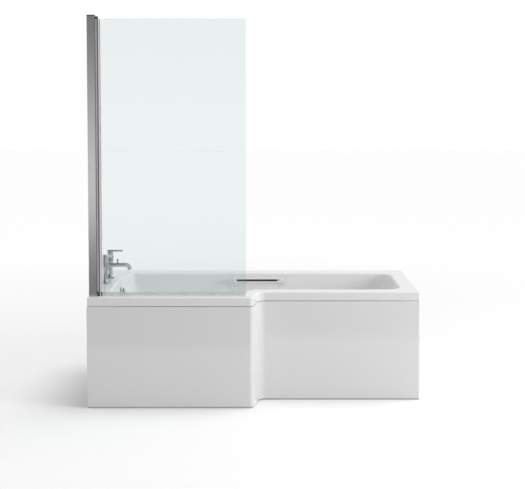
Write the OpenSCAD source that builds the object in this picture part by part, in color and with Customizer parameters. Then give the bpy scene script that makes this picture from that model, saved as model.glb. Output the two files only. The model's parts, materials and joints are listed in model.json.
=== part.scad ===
// Stepped shower bath with front panel, bath screen, mixer, grip, waste and frame.
// Lengths are millimetres. X runs along the bath from the tap end, Y runs from the
// front towards the wall, Z is up from the floor.

/* [Bath] */
// Overall length of the bath
bath_l = 1700; // [1600:10:1800]
// Depth of the wide showering end
wide_w = 850; // [830:5:900]
// Depth of the narrow end
narrow_w = 700; // [680:5:720]
// Height of the rim above the floor
rim_h = 565; // [540:5:600]
// Depth of the downturned lip
lip_h = 45; // [40:1:55]
// Thickness of the reinforced acrylic
shell_t = 5; // [4:0.5:6]
// Flat rim width at the tap end
rim_tap = 85; // [80:1:100]
// Flat rim width at the foot end
rim_foot = 74; // [60:1:90]
// Flat rim width along the wall
rim_back = 98; // [70:1:110]
// Flat rim width along the wide front
rim_wide = 74; // [66:1:80]
// Flat rim width along the narrow front
rim_narrow = 74; // [70:1:90]
// Flat rim width beside the step
rim_step = 58; // [45:1:65]
// Depth of the basin below the rim
basin_d = 420; // [400:5:430]
// Lean of the wall under the taps in degrees
slope_tap = 10; // [8:1:14]
// Lean of the backrest in degrees
slope_foot = 26; // [20:1:28]
// Lean of the side walls in degrees
slope_side = 6; // [4:1:8]
// Rounding of the rim's outer edge
edge_r = 6; // [6:0.5:8]
// Rounding from the rim into the basin
inner_r = 8; // [6:1:14]
// Rounding of the bath's four outer corners
end_r = 5; // [3:1:12]
// Rounding from the basin walls into its floor
floor_r = 60; // [50:1:64]

/* [Step in the front] */
// Place of the step, from the tap end, at the wide front
step_x = 836; // [800:5:880]
// Lean of the step's side in degrees
step_lean = 10; // [6:1:14]
// Rounding of the outside corner of the step
step_out_r = 22; // [18:1:30]
// Rounding of the inside corner of the step
step_in_r = 45; // [30:1:50]

/* [Front panel] */
// Thickness of the panel
panel_t = 3; // [2.5:0.5:4]
// How far the panel stands proud of the lip
panel_proud = 3; // [2:0.5:4]
// Gap between the panel and the lip above it
panel_gap = 3; // [2:0.5:4]
// Depth of the panel's folded top edge
panel_return = 24; // [20:1:28]

/* [Bath screen] */
// Distance from the bath's end to the free edge of the glass
screen_l = 800; // [700:5:830]
// Height of the glass top above the rim
screen_h = 1400; // [1300:1:1500]
// Thickness of the safety glass
glass_t = 6; // [5:1:8]
// Distance from the wide front to the middle of the glass
screen_y = 50; // [46:1:54]
// Thickness of the tiled wall's finish past the bath's end
tile_t = 5; // [3:1:10]
// Depth of the wall profile, out from the wall
profile_d = 37; // [34:1:40]
// Width of the wall profile
profile_w = 30; // [28:1:34]
// Radius of the rounded hinge post
post_r = 8; // [7.5:0.5:9]
// Height of the profile above the top of the glass
profile_over = 18; // [14:1:24]
// Height of the seal under the glass
seal_h = 19; // [16:1:24]
// Radius of the hinge pins
hinge_pin_r = 3; // [2.5:0.5:3.5]

/* [Bath shower mixer] */
// Distance between the two inlets
tap_centres = 180; // [170:1:190]
// Distance of the inlets from the bath's end
tap_x = 30; // [29:1:36]
// Radius of the tap holes in the rim
tap_hole_r = 16; // [15:0.5:18]
// Radius of the foot flanges
tap_foot_r = 23; // [21:0.5:26]
// Height of the pillars above the rim
pillar_h = 146; // [140:1:155]
// Radius of the pillars at the valves
pillar_r = 17; // [16:0.5:19]
// Height of the spout's middle above the rim
spout_z = 87; // [84:1:90]
// Radius of the spout
spout_r = 11; // [10:0.5:12]
// Reach of the spout from the inlets
spout_reach = 121; // [112:1:130]
// Length of a lever from its pivot
lever_l = 71; // [60:1:75]
// Thickness of a lever
lever_t = 9; // [7:0.5:11]
// Radius of the valve spindles
spindle_r = 4; // [3:0.5:5]
// Turn of the hot lever at rest in degrees
hot_rest = 43; // [0:1:60]
// Lift of the diverter knob
diverter_lift = 8; // [6:1:10]

/* [Grip] */
// Length of the grip over its ends
grip_l = 323; // [280:1:350]
// Place of the grip's left end
grip_x = 691; // [640:1:800]
// Radius of the grip's bar
grip_r = 11.5; // [10:0.5:13]
// Depth of the bar's middle below the rim
grip_drop = 34; // [32:1:60]
// Distance from the wall to the bar's middle
grip_out = 46; // [42:1:60]
// Upward lean of the grip's legs in degrees
grip_lean = 26; // [10:1:28]
// Length of the dark insert
insert_l = 230; // [180:1:240]

/* [Waste and overflow] */
// Distance of the waste from the tap end
waste_x = 300; // [295:1:310]
// Radius of the waste hole
waste_hole_r = 26; // [25:0.5:28]
// Radius of the plug
plug_r = 21; // [18:0.5:22]
// Lift of the plug
plug_lift = 9; // [6:0.5:12]
// Radius of the overflow cover
cover_r = 35; // [32:0.5:38]
// Depth of the overflow's middle below the rim
overflow_drop = 72; // [68:1:80]
// Radius of the overflow hole
overflow_hole_r = 24; // [22:0.5:26]
// Outer radius of the overflow pipe
pipe_r = 14; // [12:0.5:16]
// Outer radius of the trap's outlet
outlet_r = 21.5; // [20:0.5:22]
// Height of the trap's cup
trap_h = 61; // [56:1:64]

/* [Frame] */
// Thickness of the baseboard
board_t = 18; // [15:1:22]
// Height of the steel leg bars
bar_h = 25; // [20:1:30]
// Place of the first leg bar
bar_x1 = 470; // [440:5:520]
// Place of the second leg bar
bar_x2 = 1210; // [1150:5:1230]
// Radius of the adjustable feet
foot_r = 25; // [20:1:30]
// Radius of the foot studs
stud_r = 5; // [4:0.5:6]
// Thickness of the timber under the rim
batten_t = 18; // [15:1:22]
// Distance between the two wall brackets
bracket_pitch = 900; // [800:10:1000]
// Radius of the wall fixing holes
fixing_r = 3; // [2:0.5:4]

/* [Hidden] */

arc_n = 12;              // points less one on each rounded corner
run_c = 0.05;            // running clearance of a pin in its hole
body_c = 0.3;            // clearance between pieces that pass each other
step_w = wide_w - narrow_w;
floor_z = rim_h - basin_d;
under_z = floor_z - shell_t;
line_y = wide_w - narrow_w / 2;          // centre line of taps, waste and overflow
panel_top = rim_h - lip_h - panel_gap;
shift_y = -(wide_w - panel_proud) / 2;   // puts the middle of the whole part at Y = 0

acrylic = [0.95, 0.95, 0.95];
chrome = [0.75, 0.76, 0.78];
alu = [0.66, 0.67, 0.68];
steel = [0.6, 0.62, 0.64];
timber = [0.76, 0.62, 0.42];
plastic = [0.88, 0.88, 0.86];
rubber_black = [0.1, 0.1, 0.1];
brass_y = [0.78, 0.65, 0.35];

// ---- helpers -------------------------------------------------------------

module at_bath() {
    translate([-bath_l / 2, shift_y, 0]) children();
}

module tube(r_out, r_in, h) {
    difference() {
        cylinder(r = r_out, h = h, $fn = 64);
        translate([0, 0, -1]) cylinder(r = r_in, h = h + 2, $fn = 64);
    }
}

function unit(v) = v / norm(v);

// Points of an arc that rounds corner v between points p and q.
function corner_points(p, v, q, r, n) =
    let (a = unit(p - v), b = unit(q - v), half = acos(a * b) / 2,
         c = v + unit(a + b) * r / sin(half),
         s = v + a * r / tan(half) - c, e = v + b * r / tan(half) - c,
         a0 = atan2(s.y, s.x), d = atan2(e.y, e.x) - a0,
         sweep = d > 180 ? d - 360 : d < -180 ? d + 360 : d)
    [for (i = [0:n]) c + r * [cos(a0 + sweep * i / n), sin(a0 + sweep * i / n)]];

// Closed outline with its corners rounded by the radii in r.
function rounded(c, r, n) =
    let (k = len(c))
    [for (i = [0:k - 1]) each corner_points(c[(i + k - 1) % k], c[i], c[(i + 1) % k], r[i], n)];

// X of the step's side at depth y, moved back by an inset measured square to it.
function step_side(y, inset) = step_x + y * tan(step_lean) - inset / cos(step_lean);

// Six corners of the bath's outline, moved inwards by e.
function outer_corners(e) = [
    [e, e], [step_side(e, e), e], [step_side(step_w + e, e), step_w + e],
    [bath_l - e, step_w + e], [bath_l - e, wide_w - e], [e, wide_w - e]
];
function outer_radii(e) = [
    for (k = [0:5]) k == 2 ? step_in_r + e : max((k == 1 ? step_out_r : end_r) - e, 1)
];

// Six corners of the basin at height z, moved inwards by e.
function basin_corners(e, z) =
    let (d = rim_h - z, side = inner_r + d * tan(slope_side) + e,
         xl = rim_tap + inner_r + d * tan(slope_tap) + e,
         xr = bath_l - rim_foot - inner_r - d * tan(slope_foot) - e,
         yw = rim_wide + side, yn = step_w + rim_narrow + side, yb = wide_w - rim_back - side)
    [[xl, yw], [step_side(yw, rim_step + side), yw], [step_side(yn, rim_step + side), yn],
     [xr, yn], [xr, yb], [xl, yb]];
// Rounding of the basin's corners, which grows from the rim down to the floor.
rim_corners = [60, 50, 60, 60, 50, 140];
floor_corners = [80, 60, 60, 80, 120, 150];
function basin_radii(o, z) =
    let (t = (rim_h - z) / basin_d, r = rim_corners + t * (floor_corners - rim_corners))
    [for (k = [0:5]) k == 2 ? r[k] - o : r[k] + o];

// Section of the basin from the flat rim down to the floor, o under the face.
function basin_curve(o) = [
    for (i = [0:5]) let (a = 18 * i)
        [(inner_r - o) * sin(a) - inner_r, rim_h - inner_r + (inner_r - o) * cos(a)],
    for (i = [0:6]) let (a = 15 * i)
        [floor_r - (floor_r + o) * cos(a), floor_z + floor_r - (floor_r + o) * sin(a)]
];
// Section of the lip from the flat rim down to its lower edge, o under the face.
function lip_curve(o) = [
    for (i = [0:4]) let (a = 22.5 * i)
        [edge_r - (edge_r - o) * sin(a), rim_h - edge_r + (edge_r - o) * cos(a)],
    [o, rim_h - lip_h]
];
function basin_ring(p, o) = [
    for (q = rounded(basin_corners(p[0], p[1]), basin_radii(o, p[1]), arc_n)) [q.x, q.y, p[1]]
];
function lip_ring(p) = [
    for (q = rounded(outer_corners(p[0]), outer_radii(p[0]), arc_n)) [q.x, q.y, p[1]]
];
function back_to_front(v) = [for (i = [len(v) - 1:-1:0]) v[i]];

// Solid through a list of rings that have the same number of points.
module loft(rings) {
    n = len(rings[0]);
    m = len(rings);
    polyhedron(
        points = [for (r = rings) each r],
        faces = [
            [for (i = [0:n - 1]) i],
            for (k = [0:m - 2], i = [0:n - 1])
                [k * n + i, (k + 1) * n + i, (k + 1) * n + (i + 1) % n, k * n + (i + 1) % n],
            [for (i = [n - 1:-1:0]) (m - 1) * n + i]
        ],
        convexity = 10
    );
}

// Tube of radius r along a list of points, square to the run at each point.
module swept(path, r, sides) {
    n = len(path);
    loft([
        for (i = [0:n - 1])
            let (t = unit(path[min(i + 1, n - 1)] - path[max(i - 1, 0)]),
                 u = unit(cross([0.2, 1, 0.1], t)), v = cross(t, u))
            [for (k = [0:sides - 1]) path[i] + r * (u * cos(360 * k / sides) + v * sin(360 * k / sides))]
    ]);
}

// Points along a smooth curve through four guide points.
function bezier(a, b, c, d, n) = [
    for (i = [0:n]) let (t = i / n, s = 1 - t)
        a * s * s * s + b * 3 * s * s * t + c * 3 * s * t * t + d * t * t * t
];

// ---- bath and its frame ---------------------------------------------------

overflow_z = rim_h - overflow_drop;
overflow_x = rim_tap + inner_r + overflow_drop * tan(slope_tap);
wall_n = shell_t * cos(slope_tap);     // wall thickness square to the tap-end wall

module on_tap_wall() {
    translate([overflow_x, line_y, overflow_z]) rotate([0, 90 - slope_tap, 0]) children();
}

module at_taps() {
    for (s = [-1, 1]) translate([tap_x, line_y + s * tap_centres / 2, rim_h]) children();
}

grip_bar_z = rim_h - grip_drop;
grip_z = grip_bar_z - grip_out * tan(grip_lean);          // middle of the roses on the wall
grip_wall = wide_w - rim_back - inner_r - (rim_h - grip_z) * tan(slope_side);
rose_r = 18;
grip_feet = [grip_x + rose_r, grip_x + grip_l - rose_r];
grip_hole_r = 4;

module at_grip_feet() {
    for (x = grip_feet) translate([x, grip_wall, grip_z]) rotate([90 - slope_side, 0, 0]) children();
}

module bath_shell() color(acrylic) at_bath() difference() {
    loft(concat(
        [for (p = back_to_front(basin_curve(0))) basin_ring(p, 0)],
        [for (p = lip_curve(0)) lip_ring(p)],
        [for (p = back_to_front(lip_curve(shell_t))) lip_ring(p)],
        [for (p = basin_curve(shell_t)) basin_ring(p, shell_t)]
    ));
    at_taps() translate([0, 0, -2 * shell_t]) cylinder(r = tap_hole_r, h = 3 * shell_t, $fn = 64);
    on_tap_wall() translate([0, 0, -20]) cylinder(r = overflow_hole_r, h = 40, $fn = 64);
    translate([waste_x, line_y, floor_z - 20]) cylinder(r = waste_hole_r, h = 40, $fn = 64);
    at_grip_feet() translate([0, 0, -20]) cylinder(r = grip_hole_r, h = 40, $fn = 32);
}

board_x1 = waste_x + 50;
board_inset = 15;
board_top = under_z;
board_z = board_top - board_t;

// Outline of the flat floor, moved in so that the board stays clear of the walls.
function board_corners() =
    let (c = basin_corners(floor_r + board_inset, floor_z))
    [[board_x1, c[0].y], c[1], c[2], c[3], c[4], [board_x1, c[5].y]];

screw_r = 2.4;
screw_in = 12;                     // depth of a screw in timber
module pilot(depth) {
    translate([0, 0, -1]) cylinder(r = screw_r + run_c, h = depth + 1.5, $fn = 24);
}

module baseboard() color(timber) at_bath() difference() {
    translate([0, 0, board_z]) linear_extrude(height = board_t)
        polygon(rounded(board_corners(), [6, 20, 20, 6, 6, 6], 4));
    for (b = bars, y = screw_rows(b[1])) translate([b[0], y, board_z]) pilot(screw_in);
    for (s = [-1, 1]) translate([centre_foot[0] + s * plate_screw, centre_foot[1], board_z])
        pilot(screw_in);
}

batten_z = rim_h - shell_t - batten_t;
batten_w = rim_back - shell_t - 15;
batten_wide_x = [60, step_x - rim_step - 40];
batten_narrow_x = [step_x + 100, bath_l - 60];
batten_front_w = 44;

module batten(x1, x2, y, w) {
    translate([x1, y, batten_z]) cube([x2 - x1, w, batten_t]);
}

module rim_batten_back() color(timber) at_bath() difference() {
    batten(60, bath_l - 60, wide_w - shell_t - 3 - batten_w, batten_w);
    for (x = bracket_xs) translate([x, bracket_screw, batten_z]) pilot(screw_in);
}

module rim_batten_wide() color(timber) at_bath()
    batten(batten_wide_x[0], batten_wide_x[1], shell_t + 3, batten_front_w);

module rim_batten_narrow() color(timber) at_bath()
    batten(batten_narrow_x[0], batten_narrow_x[1], step_w + shell_t + 3, batten_front_w);

bar_t = 2.5;
bar_w = 40;
bar_z = board_z - bar_h;
bar_y2 = wide_w - 105;
bars = [[bar_x1, 120], [bar_x2, step_w + 115]];   // place of each bar and of its front end
foot_in = 22;                                      // stud to the end of its bar
centre_foot_in = 335;                              // from the bath's back edge
centre_foot = [(bar_x1 + bar_x2) / 2, wide_w - centre_foot_in];
plate_t = 4;
plate_screw = 25;                   // from the centre foot to each of its plate's screws
feet = [
    for (b = bars) each [[b[0], b[1] + foot_in, bar_z], [b[0], bar_y2 - foot_in, bar_z]],
    [centre_foot[0], centre_foot[1], board_z - plate_t]
];

// Folded steel channel, open downwards, with a hole for each foot and screw.
module leg_bar(y1) {
    len_y = bar_y2 - y1;
    difference() {
        translate([-bar_w / 2, y1, bar_z]) cube([bar_w, len_y, bar_h]);
        translate([-bar_w / 2 + bar_t, y1 - 1, bar_z - 1])
            cube([bar_w - 2 * bar_t, len_y + 2, bar_h - bar_t + 1]);
        for (y = [y1 + foot_in, bar_y2 - foot_in])
            translate([0, y, bar_z]) cylinder(r = stud_r + 0.25, h = bar_h + 1, $fn = 32);
        for (y = screw_rows(y1))
            translate([0, y, bar_z]) cylinder(r = 2.5, h = bar_h + 1, $fn = 24);
    }
}
function screw_rows(y1) =
    let (c = board_corners(), near = y1 < step_w ? c[0].y : c[2].y)
    [near + screw_inset, c[4].y - screw_inset];

module leg_bars() color(steel) at_bath()
    for (b = bars) translate([b[0], 0, 0]) leg_bar(b[1]);

module pan_screw(r, l) {
    translate([0, 0, -l]) cylinder(r = r, h = l, $fn = 24);
    rotate_extrude($fn = 32)
        polygon([[0, 0], [2 * r, 0], [1.8 * r, 0.7 * r], [1.1 * r, 1.1 * r], [0, 1.2 * r]]);
}

module leg_screws() color(steel) at_bath() {
    for (b = bars, y = screw_rows(b[1]))
        translate([b[0], y, board_z - bar_t]) rotate([180, 0, 0]) pan_screw(screw_r, bar_t + screw_in);
    for (s = [-1, 1])
        translate([centre_foot[0] + s * plate_screw, centre_foot[1], board_z - plate_t])
            rotate([180, 0, 0]) pan_screw(screw_r, plate_t + screw_in);
}

screw_inset = 30;                   // from the board's edge to a bar's screws
pad_h = 14;
stud_z = 6;                         // lower end of a stud, inside its pad
nut_h = 8;
nut_side = 1.75;                    // nut's corner radius for each radius of its thread

// A stud runs from inside its pad up through the bar or plate.
module foot_studs() color(steel) at_bath()
    for (f = feet) translate([f[0], f[1], stud_z])
        cylinder(r = stud_r, h = board_z - (f[2] > bar_z ? body_c : bar_t + body_c) - stud_z, $fn = 32);

module hex_nut(r) {
    difference() {
        cylinder(r = nut_side * r, h = nut_h, $fn = 6);
        translate([0, 0, -1]) cylinder(r = r + run_c, h = nut_h + 2, $fn = 32);
    }
}

module foot_nuts() color(steel) at_bath()
    for (f = feet) {
        top = f[2] > bar_z ? f[2] : board_z - bar_t;
        translate([f[0], f[1], top - nut_h]) hex_nut(stud_r);
        translate([f[0], f[1], pad_h]) hex_nut(stud_r);
    }

module foot_pads() color(plastic) at_bath()
    for (f = feet) translate([f[0], f[1], 0]) rotate_extrude($fn = 48)
        polygon([[0, 0], [foot_r, 0], [foot_r, 4], [foot_r - 3, 6], [12, 8], [10, pad_h],
                 [stud_r + run_c, pad_h], [stud_r + run_c, stud_z], [0, stud_z]]);

module centre_foot_plate() color(steel) at_bath()
    translate([centre_foot[0], centre_foot[1], board_z - plate_t]) difference() {
        translate([-38, -20, 0]) cube([76, 40, plate_t]);
        translate([0, 0, -1]) cylinder(r = stud_r + 0.25, h = plate_t + 2, $fn = 32);
        for (s = [-1, 1]) translate([plate_screw * s, 0, -1]) cylinder(r = 2.5, h = plate_t + 2, $fn = 24);
    }

bracket_t = 3;
bracket_w = 40;
bracket_top = rim_h - lip_h - 2;       // the bracket passes under the lip here
bracket_h = 43;
bracket_z = bracket_top - bracket_h;
bracket_in = shell_t + 3;              // its riser stands just inside the lip
bracket_reach = 45;
bracket_screw_in = 30;                 // screw to the bath's back edge
bracket_screw = wide_w - bracket_screw_in;
bracket_xs = [bath_l / 2 - bracket_pitch / 2, bath_l / 2 + bracket_pitch / 2];

// Cranked brackets: a leg on the wall, a crank under the lip, a leg under the batten.
module wall_brackets() color(steel) at_bath()
    for (x = bracket_xs) difference() {
        translate([x - bracket_w / 2, wide_w, 0]) rotate([90, 0, 90])
            linear_extrude(height = bracket_w) polygon([
                [0, bracket_z], [0, bracket_top], [-bracket_in, bracket_top], [-bracket_in, batten_z],
                [-bracket_reach, batten_z], [-bracket_reach, batten_z - bracket_t],
                [-bracket_in - bracket_t, batten_z - bracket_t],
                [-bracket_in - bracket_t, bracket_top - bracket_t],
                [-bracket_t, bracket_top - bracket_t], [-bracket_t, bracket_z]
            ]);
        translate([x, bracket_screw, batten_z - 5]) cylinder(r = 2.5, h = 10, $fn = 24);
        translate([x, wide_w + 1, bracket_z + 14]) rotate([90, 0, 0])
            cylinder(r = fixing_r, h = 10, $fn = 32);
    }

module wall_bracket_screws() color(steel) at_bath()
    for (x = bracket_xs) translate([x, bracket_screw, batten_z - bracket_t])
        rotate([180, 0, 0]) pan_screw(screw_r, bracket_t + screw_in);

// ---- front panel ------------------------------------------------------------

// Open path along the front, from the tap end to the foot end, moved in by e.
function front_path(e) =
    let (c = outer_corners(e), r = outer_radii(e), y_back = panel_return - panel_proud)
    concat([[c[0].x, y_back]],
        corner_points([c[0].x, wide_w], c[0], c[1], r[0], 6),
        corner_points(c[0], c[1], c[2], r[1], 12),
        corner_points(c[1], c[2], c[3], r[2], 12),
        corner_points(c[2], c[3], c[4], r[3], 6),
        [[c[3].x, step_w + y_back]]);

module front_band(e1, e2) {
    polygon(concat(front_path(e1), back_to_front(front_path(e2))));
}

module front_panel() color(acrylic) at_bath() {
    e = -panel_proud;
    fold_z = panel_top - panel_t;
    linear_extrude(height = fold_z + panel_t * sin(22.5)) front_band(e, e + panel_t);
    for (k = [1:4]) translate([0, 0, fold_z]) linear_extrude(height = panel_t * sin(22.5 * k))
        front_band(e + panel_t * (1 - cos(22.5 * (k - 1))), e + panel_return);
}

clip_w = 30;
clip_y = panel_return - panel_proud;
clip_xs = [140, 420, 700];
clip_narrow_xs = [1000, 1300, 1600];

// Spring clips hang from the front battens and hook under the panel's top edge.
module panel_clip() {
    flange_z = panel_top - panel_t;
    rotate([90, 0, 90]) linear_extrude(height = clip_w) polygon([
        [clip_y + 12, batten_z], [clip_y + 0.4, batten_z], [clip_y + 0.4, flange_z - 0.2],
        [clip_y - 8, flange_z - 0.2], [clip_y - 8, flange_z - 1.7], [clip_y + 1.9, flange_z - 1.7],
        [clip_y + 1.9, batten_z - 1.5], [clip_y + 12, batten_z - 1.5]
    ]);
}

module panel_clips() color(steel) at_bath() {
    for (x = clip_xs) translate([x - clip_w / 2, 0, 0]) panel_clip();
    for (x = clip_narrow_xs) translate([x - clip_w / 2, step_w, 0]) panel_clip();
}

floor_batten_h = 38;
floor_batten_w = 22;

module floor_batten_wide() color(timber) at_bath()
    translate([30, panel_t - panel_proud, 0])
        cube([step_x - 80, floor_batten_w, floor_batten_h]);

module floor_batten_narrow() color(timber) at_bath()
    translate([step_x + 90, step_w + panel_t - panel_proud, 0])
        cube([bath_l - step_x - 120, floor_batten_w, floor_batten_h]);

// ---- bath screen --------------------------------------------------------------

profile_t = 1.5;
profile_x2 = tile_t + profile_d;
profile_z = rim_h + body_c;
profile_top = rim_h + screen_h + profile_over;
hinge_x = profile_x2 + post_r + 2;
post_z = rim_h + seal_h + 3;
post_top = rim_h + screen_h - 2;
jaw_x = hinge_x + post_r + 9;      // end of the jaws that hold the glass
glass_x = hinge_x + post_r + 3;    // hidden edge of the glass inside the jaws
glass_z = rim_h + 8;
gasket_t = 1.2;
socket_r = post_r + 0.5;

module at_hinge() {
    translate([hinge_x, screen_y, 0]) children();
}

// Channel that is screwed to the wall, open towards the glass.
module wall_profile() color(alu) at_bath()
    translate([tile_t, screen_y - profile_w / 2, profile_z]) difference() {
        cube([profile_d, profile_w, profile_top - profile_z]);
        translate([profile_t, profile_t, -1])
            cube([profile_d, profile_w - 2 * profile_t, profile_top - profile_z + 2]);
        for (z = screw_heights) translate([-1, profile_w / 2, z - profile_z])
            rotate([0, 90, 0]) cylinder(r = fixing_r, h = 6, $fn = 32);
        for (z = side_heights) translate([side_screw_x - tile_t, profile_w - 3, z - profile_z])
            rotate([-90, 0, 0]) cylinder(r = side_screw_r + run_c, h = 6, $fn = 24);
    }
screw_pitch = 390;
screw_heights = [for (k = [0:3]) profile_z + 120 + k * screw_pitch];
side_screw_x = tile_t + 25;
side_screw_r = 1.8;
side_heights = [for (k = [0:2]) profile_z + 60 + k * (profile_top - profile_z - 120) / 2];

// Sliding inner channel that takes up an uneven wall and seats the hinge post.
pivot_w = profile_w - 2 * profile_t - 0.4;
pivot_x1 = tile_t + 10;
pivot_x2 = profile_x2 + 2.2;
module pivot_profile() color(alu) at_bath() difference() {
    translate([0, 0, profile_z]) linear_extrude(height = profile_top - profile_z) difference() {
        translate([pivot_x1, screen_y - pivot_w / 2]) square([pivot_x2 - pivot_x1, pivot_w]);
        translate([pivot_x1 - 1, screen_y - pivot_w / 2 + 1.6])
            square([pivot_x2 - pivot_x1 - 9, pivot_w - 3.2]);
        translate([hinge_x, screen_y]) circle(r = socket_r, $fn = 64);
    }
    for (z = side_heights) translate([side_screw_x, screen_y + pivot_w / 2 - 3, z])
        rotate([-90, 0, 0]) cylinder(r = side_screw_r + run_c, h = 6, $fn = 24);
}

// Screws on the bathing side lock the two channels together.
module profile_screws() color(steel) at_bath()
    for (z = side_heights) translate([side_screw_x, screen_y + profile_w / 2, z])
        rotate([-90, 0, 0]) pan_screw(side_screw_r, profile_t + 3);

// End blocks: fixed to the inner channel, each carries a pin for the post.
block_h = 12;
module pivot_block() {
    linear_extrude(height = block_h) union() {
        translate([pivot_x2 - hinge_x, -6]) square([hinge_x - pivot_x2, 12]);
        circle(r = post_r, $fn = 64);
    }
}

module bottom_pivot() color(rubber_black) at_bath() at_hinge() {
    translate([0, 0, post_z - block_h - 0.4]) pivot_block();
    translate([0, 0, post_z - 1]) cylinder(r = hinge_pin_r, h = 16, $fn = 48);
}

module top_pivot() color(alu) at_bath() at_hinge() {
    translate([0, 0, post_top + 0.4]) pivot_block();
    translate([0, 0, post_top - 15]) cylinder(r = hinge_pin_r, h = 16, $fn = 48);
}

// Round-nosed post with jaws for the glass and a bore for the pins.
jaw_w = glass_t + 2 * gasket_t + 4;
module hinge_post() color(alu) at_bath() at_hinge()
    translate([0, 0, post_z]) difference() {
        linear_extrude(height = post_top - post_z) difference() {
            union() {
                circle(r = post_r, $fn = 64);
                translate([0, -jaw_w / 2 + 1]) square([post_r + 2, jaw_w - 2]);
                translate([post_r, -jaw_w / 2]) square([jaw_x - hinge_x - post_r, jaw_w]);
            }
            translate([glass_x - hinge_x - 1, -glass_t / 2 - gasket_t])
                square([20, glass_t + 2 * gasket_t]);
        }
        translate([0, 0, -1]) cylinder(r = hinge_pin_r + run_c, h = post_top - post_z + 2, $fn = 48);
    }

module glass_panel() color([0.85, 0.95, 0.93, 0.4]) at_bath()
    translate([glass_x, screen_y - glass_t / 2, glass_z])
        cube([screen_l - glass_x, glass_t, screen_h - 8]);

// Clear strip that wedges the glass in the jaws and shows beside them.
gasket_x2 = jaw_x + 9;
module glass_gasket() color([0.9, 0.92, 0.92]) at_bath()
    for (s = [-1, 1])
        translate([glass_x, screen_y + (s > 0 ? glass_t / 2 : -glass_t / 2 - gasket_t), post_z])
            cube([gasket_x2 - glass_x, gasket_t, post_top - post_z]);

seal_x1 = gasket_x2 + 1;
// Clear seal: jaws on the glass, a hollow bulb above the rim and a drip fin.
module bottom_seal() color([0.9, 0.93, 0.93]) at_bath()
    translate([seal_x1, screen_y, 0]) rotate([90, 0, 90])
        linear_extrude(height = screen_l - seal_x1) difference() {
            union() {
                translate([-glass_t / 2 - 1.5, rim_h + 5]) square([glass_t + 3, seal_h - 5]);
                translate([0, rim_h + 4.4]) circle(r = 4, $fn = 32);
                polygon([[glass_t / 2 + 0.5, rim_h + 11], [glass_t / 2 + 0.5, rim_h + 8.6],
                         [11.4, rim_h + 1.2], [12, rim_h + 1.9]]);
            }
            translate([-glass_t / 2, glass_z]) square([glass_t, 40]);
            translate([0, rim_h + 4.4]) circle(r = 2.6, $fn = 24);
        }

module seal_end() color(rubber_black) at_bath()
    translate([glass_x, screen_y - glass_t / 2 - 1.5, rim_h + 0.5]) difference() {
        cube([seal_x1 - glass_x - 0.2, glass_t + 3, seal_h - 0.5]);
        translate([-1, 1.5, 7.5]) cube([30, glass_t, 30]);
    }

// ---- bath shower mixer ----------------------------------------------------------

valve_r = pillar_r - 5;            // bore for the valve
valve_z = 100;                     // bottom of the valve bore
hub_z = pillar_h + 0.6;            // underside of a lever
tail_r = 13.2;
tail_bore = 9.5;
tail_l = 62;
flange_h = 6;
washer_t = 1.5;
bridge_r = 13;
waist_r = 13.2;                    // thinnest part of a pillar
waist_z = [24, 44, 62];
shoulder_z = [84, 96];
outlet_nipple_r = 10.5;
nipple_h = 23.5;                   // length of the shower nipple
nipple_in = 6.5;                   // how far it is screwed into the bridge
nipple_lean = 32;                  // it points down and back, clear of the tiles and the rim

module at_mixer() {
    translate([tap_x, line_y, rim_h]) children();
}

module pillar() {
    difference() {
        rotate_extrude($fn = 64) polygon([
            [tail_bore, flange_h - 4], [tap_foot_r - 6, flange_h - 4], [tap_foot_r - 6, flange_h + 1],
            [waist_r + 1.8, flange_h + 8], [waist_r + 0.3, waist_z[0]], [waist_r, waist_z[1]],
            [waist_r + 0.8, waist_z[2]], [pillar_r - 1, shoulder_z[0]], [pillar_r, shoulder_z[1]],
            [pillar_r, pillar_h - 16], [pillar_r - 2, pillar_h - 13], [pillar_r, pillar_h - 10],
            [pillar_r, pillar_h - 2], [pillar_r - 2, pillar_h], [tail_bore, pillar_h]
        ]);
        translate([0, 0, valve_z]) cylinder(r = valve_r + run_c, h = pillar_h, $fn = 48);
    }
}

module at_nipple() {
    translate([0, 0, spout_z]) rotate([0, 180 + nipple_lean, 0])
        translate([0, 0, bridge_r - nipple_in]) children();
}

// Two pillars joined by an arched bridge with a boss for the spout.
half = tap_centres / 2;
bridge_rise = 58;
bridge_arc = (half * half + bridge_rise * bridge_rise) / (2 * bridge_rise);
bridge_angle = asin(half / bridge_arc);
module mixer_body() color(chrome) at_bath() at_mixer() difference() {
    union() {
        for (s = [-1, 1]) translate([0, s * half, 0]) pillar();
        difference() {
            translate([0, 0, spout_z - bridge_arc]) rotate([0, -90, 0])
                rotate([0, 0, -bridge_angle]) rotate_extrude(angle = 2 * bridge_angle, $fn = 180)
                    translate([bridge_arc, 0]) circle(r = bridge_r, $fn = 40);
            for (s = [-1, 1]) translate([0, s * half, 0])
                cylinder(r = tail_bore + 2, h = pillar_h, $fn = 48);
        }
        translate([0, 0, spout_z]) rotate([0, 90, 0]) cylinder(r = spout_r + 4, h = 20, $fn = 48);
    }
    translate([0, 0, spout_z]) rotate([0, 90, 0]) cylinder(r = spout_r - 3, h = 21, $fn = 48);
    at_nipple() cylinder(r = outlet_nipple_r + run_c, h = nipple_h, $fn = 48);
}

module mixer_flanges() color(chrome) at_bath() at_taps() rotate_extrude($fn = 64)
    polygon([[tap_foot_r - 5.8, 1.5], [tap_foot_r - 1, 1.5], [tap_foot_r, 2.5], [tap_foot_r, 4],
             [tap_foot_r - 2, 5.5], [tap_foot_r - 5.8, flange_h]]);

module mixer_washers() color(rubber_black) at_bath() {
    at_taps() tube(tap_foot_r - 1.5, tail_r + 0.1, washer_t);
    at_taps() translate([0, 0, -shell_t - 2]) tube(22, tail_r + 0.1, 2);
}

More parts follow.
